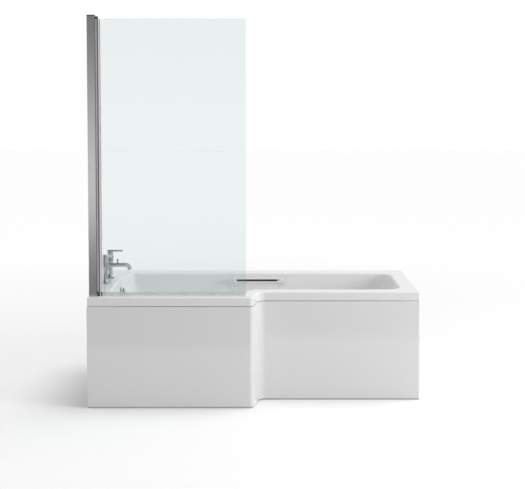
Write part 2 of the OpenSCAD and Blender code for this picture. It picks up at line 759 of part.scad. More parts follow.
module mixer_backnuts() color(brass_y) at_bath()
    at_taps() translate([0, 0, -shell_t - 2 - backnut_h]) difference() {
        cylinder(r = 21, h = backnut_h, $fn = 6);
        translate([0, 0, -1]) cylinder(r = tail_r + run_c, h = 10, $fn = 48);
    }

// Relief groove at the end of a thread or a plain pipe end.
relief_w = 0.8;
relief_d = 0.6;

// Inlet tails: a relief groove parts the free thread from the part under the nut.
backnut_h = 8;
tail_free = tail_l - flange_h + 4 - shell_t - 2 - backnut_h;
module mixer_tails() color(brass_y) at_bath()
    at_taps() translate([0, 0, flange_h - 4 - tail_l]) difference() {
        tube(tail_r, tail_bore, tail_l);
        translate([0, 0, tail_free]) tube(tail_r + 1, tail_r - relief_d, relief_w);
    }

// Spout: straight run, bend and short outlet, all hollow.
bend_r = 22;
bend_a = 67;
spout_run = spout_reach - bend_r - 20;
spout_wall = 2.5;
outlet_l = 7;
module at_spout_end() {
    translate([20 + spout_run, 0, -bend_r]) rotate([0, bend_a, 0]) translate([0, 0, bend_r])
        rotate([0, 90, 0]) children();
}
module spout_path(r) {
    translate([20, 0, 0]) rotate([0, 90, 0]) cylinder(r = r, h = spout_run, $fn = 48);
    translate([20 + spout_run, 0, -bend_r]) rotate([90, 0, 0])
        rotate_extrude(angle = bend_a, start = 90 - bend_a, $fn = 96)
            translate([bend_r, 0]) circle(r = r, $fn = 48);
}
module spout() color(chrome) at_bath() at_mixer() translate([0, 0, spout_z]) difference() {
    union() {
        spout_path(spout_r);
        at_spout_end() translate([0, 0, -1]) cylinder(r = spout_r + 1, h = outlet_l + 1, $fn = 48);
        translate([20, 0, 0]) rotate([0, 90, 0]) cylinder(r = spout_r + 1, h = 3, $fn = 48);
        translate([diverter_x, 0, spout_r - 1]) cylinder(r = 5.5, h = 2.5, $fn = 32);
    }
    spout_path(spout_r - spout_wall);
    at_spout_end() cylinder(r = spout_r - spout_wall, h = outlet_l + 1, $fn = 48);
    translate([diverter_x, 0, knob_stem_r]) cylinder(r = knob_stem_r + run_c, h = 30, $fn = 32);
}

module aerator() color(chrome) at_bath() at_mixer() translate([0, 0, spout_z])
    at_spout_end() translate([0, 0, outlet_l]) tube(spout_r + 0.5, spout_r - 3.5, 4);

diverter_x = 54;
knob_stem_r = 2;
knob_stem = diverter_lift + 2;      // part of the stem that is inside the spout
module diverter_knob() color(chrome) at_bath() at_mixer()
    translate([diverter_x, 0, spout_z + spout_r + 1.5]) rotate_extrude($fn = 32)
        polygon([[0, -knob_stem], [knob_stem_r, -knob_stem], [knob_stem_r, body_c], [3, body_c],
                 [2.6, 6], [4.4, 15], [4.4, 18], [3.4, 19.4], [0, 19.4]]);

// Threaded nipple for a shower hose, screwed into the underside of the bridge.
nipple_free = 16;
module shower_outlet() color(chrome) at_bath() at_mixer() at_nipple() difference() {
    tube(outlet_nipple_r, 6, nipple_h);
    translate([0, 0, nipple_h - nipple_free - relief_w])
        tube(outlet_nipple_r + 1, outlet_nipple_r - relief_d, relief_w);
}

module cartridge() {
    translate([0, 0, valve_z]) tube(valve_r, spindle_r + run_c, pillar_h - valve_z);
}
module spindle() {
    translate([0, 0, valve_z + 10]) cylinder(r = spindle_r, h = hub_z + 5 - valve_z - 10, $fn = 32);
}
// Flat lever on a round hub, bored for its spindle from below.
lever_half = 5.5;                  // half of the lever's width
lever_back = pillar_r - lever_half;  // it ends level with the pillar behind the hub
module lever() {
    difference() {
        union() {
            translate([0, 0, hub_z]) cylinder(r = pillar_r - 3, h = lever_t - 2, $fn = 48);
            translate([0, 0, hub_z + 2]) linear_extrude(height = lever_t) union() {
                translate([-lever_back, -lever_half])
                    square([lever_l + lever_back - lever_half, 2 * lever_half]);
                translate([lever_l - lever_half, 0]) circle(r = lever_half, $fn = 32);
                translate([-lever_back, 0]) circle(r = lever_half, $fn = 32);
            }
        }
        translate([0, 0, hub_z - 1]) cylinder(r = spindle_r + 0.02, h = 6, $fn = 32);
    }
}
module at_hot() {
    at_bath() at_mixer() translate([0, -half, 0]) children();
}
module at_cold() {
    at_bath() at_mixer() translate([0, half, 0]) children();
}
module hot_cartridge() color(brass_y) at_hot() cartridge();
module hot_spindle() color(brass_y) at_hot() spindle();
module hot_lever() color(chrome) at_hot() rotate([0, 0, -hot_rest]) lever();
module cold_cartridge() color(brass_y) at_cold() cartridge();
module cold_spindle() color(brass_y) at_cold() spindle();
module cold_lever() color(chrome) at_cold() lever();

// ---- grip ---------------------------------------------------------------------

elbow_side = 15;
rose_h = 5;
bar_y = grip_wall - grip_out;
bar_end = rose_r + elbow_side;      // length of each chrome end along the bar
grip_leg = grip_out / cos(grip_lean);
leg_r = grip_r - 1.5;

module at_bar(x) {
    translate([x, bar_y, grip_bar_z]) rotate([0, 90, 0]) children();
}

// Bar between the brackets, with a groove for the insert along its front.
insert_x = grip_x + (grip_l - insert_l) / 2;
insert_t = 1.5;
insert_arc = 56;                   // part of the bar's turn that the insert covers
insert_turn = 254 - insert_arc / 2;   // it faces the front and a little up
module grip_bar() color(chrome) at_bath() difference() {
    at_bar(grip_x + bar_end) cylinder(r = grip_r, h = grip_l - 2 * bar_end, $fn = 48);
    at_bar(insert_x - 0.2) rotate([0, 0, insert_turn - 1])
        rotate_extrude(angle = insert_arc + 2, $fn = 64)
            translate([grip_r - insert_t, 0]) square([6, insert_l + 0.4]);
}

// Dark strip that lies in the groove.
module grip_insert() color([0.2, 0.2, 0.2]) at_bath()
    at_bar(insert_x) rotate([0, 0, insert_turn]) rotate_extrude(angle = insert_arc, $fn = 64)
        translate([grip_r - insert_t + run_c, 0]) square([insert_t, insert_l]);

// End pieces: a rose on the wall, a rising leg and an elbow that turns into the bar.
module grip_end() {
    difference() {
        union() {
            rotate([90 - slope_side, 0, 0]) cylinder(r = rose_r, h = rose_h, $fn = 48);
            rotate([-grip_lean, 0, 0]) {
                rotate([90, 0, 0]) translate([0, 0, rose_h])
                    cylinder(r = leg_r, h = grip_leg - elbow_side - rose_h, $fn = 48);
                translate([elbow_side, -grip_leg + elbow_side, 0]) rotate([0, 0, 180])
                    rotate_extrude(angle = 90, $fn = 96) translate([elbow_side, 0])
                        circle(r = leg_r, $fn = 48);
            }
        }
        rotate([90 - slope_side, 0, 0]) translate([0, 0, -1]) cylinder(r = 3, h = 14, $fn = 32);
    }
}
module grip_brackets() color(chrome) at_bath() {
    translate([grip_feet[0], grip_wall, grip_z]) grip_end();
    translate([grip_feet[1], grip_wall, grip_z]) mirror([1, 0, 0]) grip_end();
}

module grip_bolts() color(steel) at_bath() at_grip_feet() {
    translate([0, 0, -14]) cylinder(r = 3, h = 26, $fn = 32);
    translate([0, 0, -shell_t - 7]) cylinder(r = 6, h = 5, $fn = 6);
    translate([0, 0, -shell_t - 2]) cylinder(r = 9, h = 2, $fn = 32);
}

// ---- waste and overflow -----------------------------------------------------------

seal_t = 2;
body_z = under_z - seal_t;
stem_r = 3;
guide_z = floor_z - 24;            // underside of the plug's guide
guide_h = 8;
stem_l = floor_z - guide_z + 1 + plug_lift;   // the stem stays in its guide when it is up
module at_waste() {
    translate([waste_x, line_y, 0]) children();
}

module waste_flange() color(chrome) at_bath() at_waste() {
    rotate_extrude($fn = 64) polygon([
        [plug_r + 1, floor_z], [plug_r + 1, floor_z + 1.2], [plug_r + 5, floor_z + 2.4],
        [34, floor_z + 1.6], [36, floor_z + 0.6], [36, floor_z], [waste_hole_r - 0.5, floor_z],
        [waste_hole_r - 0.5, body_z - 22], [plug_r, body_z - 22], [plug_r - 2, floor_z - 8],
        [plug_r - 1.5, floor_z - 4]
    ]);
    difference() {
        union() {
            for (k = [0:2]) rotate([0, 0, 120 * k]) translate([0, -2, guide_z])
                cube([plug_r - 0.5, 4, guide_h]);
            translate([0, 0, guide_z]) cylinder(r = stem_r + 4, h = guide_h, $fn = 32);
        }
        translate([0, 0, guide_z - 1]) cylinder(r = stem_r + run_c, h = guide_h + 2, $fn = 32);
    }
}

module waste_seal() color(rubber_black) at_bath() at_waste()
    translate([0, 0, body_z]) tube(34, waste_hole_r + 0.2, seal_t);

cable_r = 2.5;
gland_r = 5;
gland_out = 40;
gland_in = 16;                         // the gland's root, inside the waste body's wall
cable_side = pipe_r + 9;               // the cable runs beside the pipe
port_z = body_z - 28;
waste_bottom = body_z - 48;
module waste_body() color(plastic) at_bath() at_waste() difference() {
    union() {
        translate([0, 0, body_z - 4]) cylinder(r = 36, h = 4, $fn = 64);
        translate([0, 0, waste_bottom]) cylinder(r = waste_hole_r + 4, h = body_z - waste_bottom, $fn = 64);
        translate([-52, 0, port_z]) rotate([0, 90, 0]) cylinder(r = pipe_r + 3, h = 40, $fn = 48);
        translate([-gland_out, cable_side, port_z]) rotate([0, 90, 0])
            cylinder(r = gland_r, h = gland_out - gland_in, $fn = 32);
    }
    translate([0, 0, body_z - 22.5]) cylinder(r = waste_hole_r - 0.3, h = 30, $fn = 64);
    translate([0, 0, waste_bottom - 1]) cylinder(r = outlet_r - 2, h = 60, $fn = 64);
    translate([-53, 0, port_z]) rotate([0, 90, 0]) cylinder(r = pipe_r + 0.1, h = 21, $fn = 48);
    translate([-53, 0, port_z]) rotate([0, 90, 0]) cylinder(r = pipe_r - 2.5, h = 50, $fn = 48);
}

module plug() color(chrome) at_bath() at_waste() {
    rotate_extrude($fn = 64) polygon([
        [0, floor_z + 3.4], [plug_r * 0.6, floor_z + 3], [plug_r - 1.5, floor_z + 1.8],
        [plug_r, floor_z + 0.6], [plug_r - 0.6, floor_z - 0.6], [plug_r - 5, floor_z - 1],
        [plug_r - 5, floor_z - 4], [stem_r, floor_z - 5], [stem_r, floor_z - stem_l], [0, floor_z - stem_l]
    ]);
}

module plug_seal() color(rubber_black) at_bath() at_waste() translate([0, 0, floor_z - 3.4])
    tube(plug_r - 1.9, plug_r - 5, 2.4);

// Shallow bath trap: cup, inlet with nut, dip wall and side outlet.
trap_r = 48;
trap_t = 3;
trap_neck = 8;                     // from the cup's shoulder up to the waste
trap_top = waste_bottom - trap_neck;
trap_z = trap_top - trap_h;
outlet_z = trap_z + outlet_r + trap_t + 6.5;
outlet_x = -150;
outlet_free = 80;                  // pipe end that a socket slides over, up to the nut
outlet_nut_w = 14;
dip_r = outlet_r - 2;
module trap() color(plastic) at_bath() at_waste() difference() {
    union() {
        rotate_extrude($fn = 64) polygon([
            [0, trap_z], [trap_r - trap_t, trap_z], [trap_r, trap_z + trap_t], [trap_r, trap_top - 4],
            [trap_r - 4, trap_top], [outlet_r + 8, trap_top], [outlet_r + 8, waste_bottom - body_c],
            [0, waste_bottom - body_c]
        ]);
        translate([outlet_x, 0, outlet_z]) rotate([0, 90, 0])
            cylinder(r = outlet_r, h = -outlet_x - trap_r + 10, $fn = 64);
        translate([outlet_x + outlet_free + relief_w, 0, outlet_z]) rotate([0, 90, 0])
            cylinder(r = outlet_r + 5, h = outlet_nut_w, $fn = 12);
    }
    translate([outlet_x + outlet_free, 0, outlet_z]) rotate([0, 90, 0])
        tube(outlet_r + 1, outlet_r - relief_d, relief_w);
    translate([0, 0, trap_z + trap_t])
        cylinder(r = trap_r - trap_t - 1, h = trap_h - 2 * trap_t, $fn = 64);
    translate([0, 0, trap_z + trap_t]) cylinder(r = dip_r, h = trap_h + trap_neck, $fn = 64);
    translate([outlet_x - 1, 0, outlet_z]) rotate([0, 90, 0])
        cylinder(r = dip_r, h = -outlet_x - trap_r + 12, $fn = 64);
}

dial_z = 5;
dial_t = 9;
shaft_r = 4;
// Fixed ring on the basin side with water slots under the dial.
module overflow_cover() color(chrome) at_bath() on_tap_wall() difference() {
    union() {
        rotate_extrude($fn = 64) polygon([
            [shaft_r + run_c, 0], [cover_r - 1, 0], [cover_r, 1], [cover_r, 3], [cover_r - 1, dial_z - 0.6],
            [shaft_r + run_c, dial_z - 0.6]
        ]);
        translate([0, 0, -wall_n - 6]) tube(overflow_hole_r - 0.5, overflow_hole_r - 3, wall_n + 6.5);
    }
    for (k = [0:5]) rotate([0, 0, 60 * k]) translate([14, 0, -1]) cylinder(r = 4, h = 10, $fn = 24);
}

// Turning knob with a finger bar across its face.
module overflow_dial() color(chrome) at_bath() on_tap_wall() {
    translate([0, 0, -28]) cylinder(r = shaft_r, h = 30 + dial_z, $fn = 32);
    rotate_extrude($fn = 64) polygon([
        [0, dial_z], [cover_r - 2, dial_z], [cover_r - 1, dial_z + 1.5], [cover_r - 3, dial_z + dial_t - 3],
        [cover_r - 8, dial_z + dial_t], [0, dial_z + dial_t]
    ]);
    translate([-cover_r + 8, -3, dial_z + dial_t - 1]) cube([2 * cover_r - 16, 6, 4]);
}

module overflow_seal() color(rubber_black) at_bath() on_tap_wall()
    translate([0, 0, -wall_n - seal_t]) tube(cover_r - 2, overflow_hole_r + 0.2, seal_t);

cup_r = 30;
cup_h = 26;
pipe_x = overflow_x - (wall_n + seal_t + cup_h / 2 + 4) * cos(slope_tap);
pipe_top = overflow_z - cup_r - 12;
// Cup behind the wall, with a spigot down to the pipe and a boss for the shaft.
module overflow_body() color(plastic) at_bath() difference() {
    union() {
        on_tap_wall() translate([0, 0, -wall_n - seal_t - cup_h]) cylinder(r = cup_r, h = cup_h, $fn = 64);
        on_tap_wall() translate([0, 0, -wall_n - seal_t - 4]) cylinder(r = cover_r, h = 4, $fn = 64);
        translate([pipe_x, line_y, pipe_top - 4]) cylinder(r = pipe_r + 3, h = cup_r, $fn = 48);
        translate([pipe_x, line_y + cable_side, cable_top]) cylinder(r = gland_r, h = 24, $fn = 32);
    }
    on_tap_wall() translate([0, 0, -wall_n - seal_t - cup_h + 3])
        cylinder(r = overflow_hole_r - 0.3, h = cup_h + 10, $fn = 64);
    translate([pipe_x, line_y, pipe_top - 5]) cylinder(r = pipe_r + 0.1, h = 21, $fn = 48);
    translate([pipe_x, line_y, pipe_top - 5]) cylinder(r = pipe_r - 2.5, h = 40, $fn = 48);
}

pipe_bend = 30;
pipe_end = waste_x - 34;
module pipe_run(r) {
    translate([pipe_x, line_y, port_z + pipe_bend])
        cylinder(r = r, h = pipe_top + 15 - port_z - pipe_bend, $fn = 48);
    translate([pipe_x + pipe_bend, line_y, port_z + pipe_bend]) rotate([90, 0, 0])
        rotate([0, 0, 180]) rotate_extrude(angle = 90, $fn = 96)
            translate([pipe_bend, 0]) circle(r = r, $fn = 48);
    translate([pipe_x + pipe_bend, line_y, port_z]) rotate([0, 90, 0])
        cylinder(r = r, h = pipe_end - pipe_x - pipe_bend, $fn = 48);
}
module overflow_pipe() color(plastic) at_bath() difference() {
    pipe_run(pipe_r);
    pipe_run(pipe_r - 2.5);
}

cable_y = line_y + cable_side;
cable_top = overflow_z - cup_r - 10;
clip_heights = [for (k = [0:2]) port_z + pipe_bend + 60 + 90 * k];
module pipe_clips() color(plastic) at_bath()
    for (z = clip_heights) translate([pipe_x, line_y, z]) difference() {
        union() {
            cylinder(r = pipe_r + 2.2, h = 10, $fn = 48);
            translate([-5, 0, 0]) cube([10, cable_y - line_y + 5, 10]);
        }
        translate([0, 0, -1]) cylinder(r = pipe_r + 0.1, h = 12, $fn = 48);
        translate([0, cable_y - line_y, -1]) cylinder(r = cable_r + 0.1, h = 12, $fn = 32);
    }

cable_drop = 50;                     // straight ease out of the drop
cable_lead = 60;                     // straight ease into the gland

// Cable from the dial's cup, down beside the pipe, to the gland on the waste body.
module drive_cable() color(rubber_black) at_bath() {
    down = [pipe_x, cable_y, port_z + pipe_bend + 30];
    cable_end = [waste_x - gland_out, cable_y, port_z];
    swept(concat(
        [[pipe_x, cable_y, cable_top]],
        bezier(down, down - [0, 0, cable_drop], cable_end - [cable_lead, 0, 0], cable_end, 12)
    ), cable_r, 8);
}

bath_shell();
baseboard();
rim_batten_back();
rim_batten_wide();
rim_batten_narrow();
leg_bars();
leg_screws();
foot_studs();
foot_nuts();
foot_pads();
centre_foot_plate();
wall_brackets();
wall_bracket_screws();
front_panel();
panel_clips();
floor_batten_wide();
floor_batten_narrow();
wall_profile();
pivot_profile();
profile_screws();
bottom_pivot();
top_pivot();
hinge_post();
glass_panel();
glass_gasket();
bottom_seal();
seal_end();
mixer_body();
mixer_flanges();
mixer_washers();
mixer_backnuts();
mixer_tails();
spout();
aerator();
diverter_knob();
shower_outlet();
hot_cartridge();
hot_spindle();
hot_lever();
cold_cartridge();
cold_spindle();
cold_lever();
grip_bar();
grip_insert();
grip_brackets();
grip_bolts();
waste_flange();
waste_seal();
waste_body();
plug();
plug_seal();
trap();
overflow_cover();
overflow_dial();
overflow_seal();
overflow_body();
overflow_pipe();
pipe_clips();
drive_cable();
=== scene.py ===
"""Looks of a stepped shower bath: camera, light, floor, finishes and the smooth pieces.

Everything is in metres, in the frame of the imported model: X along the bath towards its foot
end, Y from the front towards the wall, Z up from the floor.
"""

import json
import math

import bmesh
import bpy
from mathutils import Matrix, Vector


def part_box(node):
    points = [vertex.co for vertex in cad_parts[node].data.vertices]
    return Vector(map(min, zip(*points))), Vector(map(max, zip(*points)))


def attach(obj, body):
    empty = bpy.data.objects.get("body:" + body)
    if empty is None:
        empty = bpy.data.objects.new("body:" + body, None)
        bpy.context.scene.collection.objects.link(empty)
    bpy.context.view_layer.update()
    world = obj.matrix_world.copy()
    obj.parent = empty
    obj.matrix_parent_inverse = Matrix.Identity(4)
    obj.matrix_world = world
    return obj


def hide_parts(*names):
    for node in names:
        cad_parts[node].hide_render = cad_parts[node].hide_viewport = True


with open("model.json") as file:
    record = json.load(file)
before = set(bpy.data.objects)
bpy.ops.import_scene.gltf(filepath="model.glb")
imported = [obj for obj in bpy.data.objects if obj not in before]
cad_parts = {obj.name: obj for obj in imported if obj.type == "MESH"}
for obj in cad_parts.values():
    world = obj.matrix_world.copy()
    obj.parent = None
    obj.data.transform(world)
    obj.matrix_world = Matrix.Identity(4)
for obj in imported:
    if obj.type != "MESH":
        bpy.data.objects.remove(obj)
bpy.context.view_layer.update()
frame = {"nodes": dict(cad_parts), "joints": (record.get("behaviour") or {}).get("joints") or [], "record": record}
record = frame["record"]
scene = bpy.context.scene

# ---- camera ----------------------------------------------------------------

IMAGE_WIDTH = 525                   # pixels
FOCAL_PIXELS = 1001.7
SENSOR = 36.0
CAMERA_AT = (0.0343, -5.4227, 1.5163)
CAMERA_TILT = math.radians(3)       # looks down by this much
FRAME_SHIFT = -0.1596


def make_camera():
    data = bpy.data.cameras.new("camera")
    data.sensor_width = SENSOR
    data.lens = SENSOR * FOCAL_PIXELS / IMAGE_WIDTH
    data.shift_y = FRAME_SHIFT
    camera = bpy.data.objects.new("camera", data)
    camera.location = CAMERA_AT
    camera.rotation_euler = (math.pi / 2 - CAMERA_TILT, 0, 0)
    scene.collection.objects.link(camera)
    scene.camera = camera


# ---- node trees ------------------------------------------------------------


class Wire:
    """An output socket; arithmetic on it adds Math nodes to its tree."""

    def __init__(self, tree, socket):
        self.tree = tree
        self.socket = socket

    def calc(self, operation, first, second=None, clamp=False):
        made = self.tree.nodes.new("ShaderNodeMath")
        made.operation = operation
        made.use_clamp = clamp
        for socket, value in zip(made.inputs, (first, second)):
            connect(self.tree, socket, value)
        return Wire(self.tree, made.outputs[0])

    def __add__(self, other):
        return self.calc("ADD", self, other)

    def __sub__(self, other):
        return self.calc("SUBTRACT", self, other)

    def __rsub__(self, other):
        return self.calc("SUBTRACT", other, self)

    def __mul__(self, other):
        return self.calc("MULTIPLY", self, other)

    def __gt__(self, other):
        return self.calc("GREATER_THAN", self, other)

    def __lt__(self, other):
        return self.calc("LESS_THAN", self, other)

    def clamped(self):
        return self.calc("ADD", self, 0, clamp=True)

    def ramp(self, start, slope):
        """0 at the start, changing by the slope, and kept between 0 and 1."""
        return ((self - start) * slope).clamped()

    __radd__ = __add__
    __rmul__ = __mul__


def connect(tree, socket, value):
    """Links a wire to a socket, or sets the socket's own value."""
    if isinstance(value, Wire):
        tree.links.new(value.socket, socket)
    elif value is not None:
        is_colour = socket.type == "RGBA" and len(value) == 3
        socket.default_value = (*value, 1) if is_colour else value


class Tree:
    """A node tree; add() makes any node and returns one of its outputs."""

    def __init__(self, owner):
        owner.use_nodes = True
        self.tree = owner.node_tree
        self.tree.nodes.clear()

    def add(self, kind, settings=None, inputs=None, output=0):
        node = self.tree.nodes.new("ShaderNode" + kind)
        for name, value in (settings or {}).items():
            if name == "stops":
                set_stops(node.color_ramp, value)
            else:
                setattr(node, name, value)
        for name, value in (inputs or {}).items():
            connect(self.tree, node.inputs[name], value)
        return Wire(self.tree, node.outputs[output])

    def place(self, stretch):
        """Object coordinates, stretched."""
        point = self.add("TexCoord", output="Object")
        return self.add("Mapping", inputs={"Vector": point, "Scale": stretch})

    def along(self, axis):
        """Object coordinate along X, Y or Z."""
        point = self.add("TexCoord", output="Object")
        return self.add("SeparateXYZ", inputs={"Vector": point}, output=axis)

    def noise(self, scale, detail=3, stretch=(1, 1, 1)):
        inputs = {"Vector": self.place(stretch), "Scale": scale, "Detail": detail}
        return self.add("TexNoise", inputs=inputs)

    def tint(self, factor, low, high):
        """Colour between low and high."""
        mix = {"data_type": "RGBA"}
        return self.add("Mix", mix, {0: factor, 6: low, 7: high}, output=2)

    def bump(self, height, depth, strength):
        inputs = {"Height": height, "Distance": depth, "Strength": strength}
        return self.add("Bump", inputs=inputs)

    def principled(self, **sockets):
        """Principled shader whose sockets are named with _ for each space."""
        named = {key.replace("_", " "): value for key, value in sockets.items()}
        return self.add("BsdfPrincipled", inputs=named)


def set_stops(ramp, stops):
    while len(ramp.elements) < len(stops):
        ramp.elements.new(0.5)
    for element, (place, colour) in zip(ramp.elements, stops):
        element.position = place
        element.color = (*colour, 1)


def new_material(name):
    material = bpy.data.materials.new(name)
    return material, Tree(material)


def finish_off(tree, shader):
    output = tree.tree.nodes.new("ShaderNodeOutputMaterial")
    connect(tree.tree, output.inputs["Surface"], shader)


# ---- stage -----------------------------------------------------------------

FLOOR_HALF = 30.0
FLOOR_BOUNCE = 0.7                  # tone of the floor for the light that it gives back
FLOOR_SEEN = 1.02                   # and to the camera, near the bath
FLOOR_LIFT = 0.12                   # the camera's tone rises by this much further out
LIFT_RAMP = (1.7, 0.3)              # start and slope, over the distance from the middle

MAT_EDGE = -1.79                    # gloss mirrors a bright mat behind this line
MAT_RAMP = (MAT_EDGE, 8)
FAR_RAMP = (MAT_EDGE - 3.5, -0.2)   # and a bright floor far in front of it
MIRRORED_DIM, MIRRORED_MAT, MIRRORED_FAR = 0.2, 0.88, 0.86

AMBIENT = 0.545                     # of the world, for all but gloss and the camera
STUDIO_DARK = 0.12                  # the world's strengths to gloss
STUDIO_LOW, LOW_RAMP = 0.55, (0.08, -11)
STUDIO_SOFTBOX, SIDE_RAMP, TOP_RAMP = 0.5, (0.5, 5), (0.75, 5)
STUDIO_BACKDROP, BACKDROP_RAMP = 0.74, (-0.1, 2.5)

KEY_FROM = (0.342, 0.09, 0.936)
KEY_SPREAD = math.radians(36)
KEY_SHARE = 0.34                    # tone that the key alone gives a white face turned to it
FILL_AT = (3.58, -1.45, 1.34)
FILL_AIM = (0, 0, 0.3)              # the point that the fill looks at
FILL_SIZE = 1.2
FILL_WATTS = 50


def seen_rays(tree):
    """1 for rays that show the background: straight from the camera or through glass."""
    straight = tree.add("LightPath", output="Is Camera Ray")
    return (straight + tree.add("LightPath", output="Is Transmission Ray")).clamped()


def make_floor():
    """Pale matt floor; gloss sees it bright near the bath and far in front, dim between."""
    mesh = bmesh.new()
    bmesh.ops.create_grid(mesh, x_segments=1, y_segments=1, size=FLOOR_HALF)
    floor = new_object("floor", mesh)
    material, tree = new_material("floor_paint")
    through = tree.add("LightPath", output="Is Transmission Ray")
    glossy = tree.add("LightPath", output="Is Glossy Ray") * (1 - through)
    point = tree.add("TexCoord", output="Object")
    reach = tree.add("VectorMath", {"operation": "LENGTH"}, {0: point}, output="Value")
    lift = reach.ramp(*LIFT_RAMP) * FLOOR_LIFT
    tone = FLOOR_BOUNCE + seen_rays(tree) * (FLOOR_SEEN - FLOOR_BOUNCE + lift)
    matt = tree.add("BsdfDiffuse", inputs={"Color": tone})
    depth = tree.along("Y")
    mat = depth.ramp(*MAT_RAMP) * MIRRORED_MAT
    far = depth.ramp(*FAR_RAMP) * MIRRORED_FAR
    mirrored = tree.add("Emission", inputs={"Strength": MIRRORED_DIM + mat + far})
    finish_off(tree, tree.add("MixShader", inputs={0: glossy, 1: matt, 2: mirrored}))
    floor.data.materials.append(material)


def make_world():
    """White to the camera; gloss sees a dark studio that is bright low down and at the back.

    On the right, gloss also sees a softbox.
    """
    world = bpy.data.worlds.new("studio")
    scene.world = world
    tree = Tree(world)
    glossy = tree.add("LightPath", output="Is Glossy Ray")
    way = {"Vector": tree.add("TexCoord", output="Generated")}
    right = tree.add("SeparateXYZ", inputs=way, output="X")
    back = tree.add("SeparateXYZ", inputs=way, output="Y")
    up = tree.add("SeparateXYZ", inputs=way, output="Z")
    low = up.ramp(*LOW_RAMP) * STUDIO_LOW
    softbox = right.ramp(*SIDE_RAMP) * (1 - up.ramp(*TOP_RAMP)) * STUDIO_SOFTBOX
    backdrop = back.ramp(*BACKDROP_RAMP) * STUDIO_BACKDROP
    studio = STUDIO_DARK + low + softbox + backdrop
    light = glossy * studio + (1 - glossy) * AMBIENT
    seen = seen_rays(tree)
    strength = seen + (1 - seen) * light
    background = tree.add("Background", inputs={"Color": (1, 1, 1), "Strength": strength})
    output = tree.tree.nodes.new("ShaderNodeOutputWorld")
    connect(tree.tree, output.inputs["Surface"], background)


def add_light(name, kind, strength, direction):
    """Lamp whose light comes from the given direction."""
    data = bpy.data.lights.new(name, kind)
    data.energy = strength
    light = bpy.data.objects.new(name, data)
    light.rotation_euler = Vector(direction).to_track_quat("Z", "Y").to_euler()
    scene.collection.objects.link(light)
    return light


def make_lights():
    """A wide key from high on the right and a softbox on the right, in front."""
    key = add_light("key", "SUN", KEY_SHARE * math.pi, KEY_FROM)
    key.data.angle = KEY_SPREAD
    key.visible_glossy = False       # gloss sees the world's softbox instead
    fill = add_light("softbox", "AREA", FILL_WATTS, Vector(FILL_AT) - Vector(FILL_AIM))
    fill.data.size = FILL_SIZE
    fill.visible_glossy = False
    fill.location = FILL_AT


# ---- mesh helpers ----------------------------------------------------------


def new_object(name, mesh):
    """Object at the origin from a bmesh, which is freed."""
    data = bpy.data.meshes.new(name)
    mesh.to_mesh(data)
    mesh.free()
    made = bpy.data.objects.new(name, data)
    scene.collection.objects.link(made)
    return made


def shade(piece, angle):
    """Smooth shading that breaks at sharp edges and keeps flat stretches flat."""
    piece.data.polygons.foreach_set("use_smooth", [True] * len(piece.data.polygons))
    piece.data.set_sharp_from_angle(angle=math.radians(angle))
    flat = piece.modifiers.new("flat", "WEIGHTED_NORMAL")
    flat.keep_sharp = True


def applied(piece):
    """Replaces a piece's mesh by the mesh that its modifiers make."""
    seen = piece.evaluated_get(bpy.context.evaluated_depsgraph_get())
    mesh = bpy.data.meshes.new_from_object(seen)
    piece.modifiers.clear()
    piece.data = mesh


def dress(piece, body, slot, *nodes):
    """Gives a new piece its body and its finish, and hides the nodes that it stands for."""
    piece.data.materials.clear()
    piece.data.materials.append(finishes[slot])
    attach(piece, body)
    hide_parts(*nodes)


def add_ring(mesh, corners, radii, height, steps):
    """Closed ring of edges through the corners, each rounded where it has a radius."""
    verts = [mesh.verts.new((x, y, height)) for x, y in corners]
    mesh.faces.new(verts)
    flat = [Vector(corner) for corner in corners]
    for index, (vert, radius) in enumerate(zip(verts, radii)):
        if not radius:
            continue
        here = flat[index]
        before = flat[index - 1] - here
        after = flat[(index + 1) % len(flat)] - here
        tangent = radius / math.tan(before.angle(after) / 2)
        bmesh.ops.bevel(mesh, geom=[vert], offset=tangent, offset_type="OFFSET",
                        affect="VERTICES", segments=steps, profile=0.5, material=-1)
    mesh.faces.ensure_lookup_table()
    face = mesh.faces[0]
    ring = list(face.edges)
    bmesh.ops.delete(mesh, geom=[face], context="FACES_ONLY")
    return ring


def bridge(mesh, rings):
    """Faces between each ring and the next."""
    for first, second in zip(rings, rings[1:]):
        bmesh.ops.bridge_loops(mesh, edges=first + second)


def face_outwards(mesh, way):
    """Turns all faces so that the largest one looks the given way."""
    bmesh.ops.recalc_face_normals(mesh, faces=mesh.faces)
    mesh.normal_update()
    largest = max(mesh.faces, key=lambda face: face.calc_area())
    if largest.normal.dot(way) < 0:
        bmesh.ops.reverse_faces(mesh, faces=mesh.faces)


def thicken(piece, thickness):
    """Gives a skin its wall, on the side away from its normals."""
    wall = piece.modifiers.new("wall", "SOLIDIFY")
    wall.thickness = thickness
    wall.offset = -1
    applied(piece)


def middle(node):
    low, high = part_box(node)
    return (low + high) / 2


def over(node, height):
    """Point at a height, straight over or under a node's middle."""
    centre = middle(node)
    return Vector((centre.x, centre.y, height))


# ---- bath shell ------------------------------------------------------------

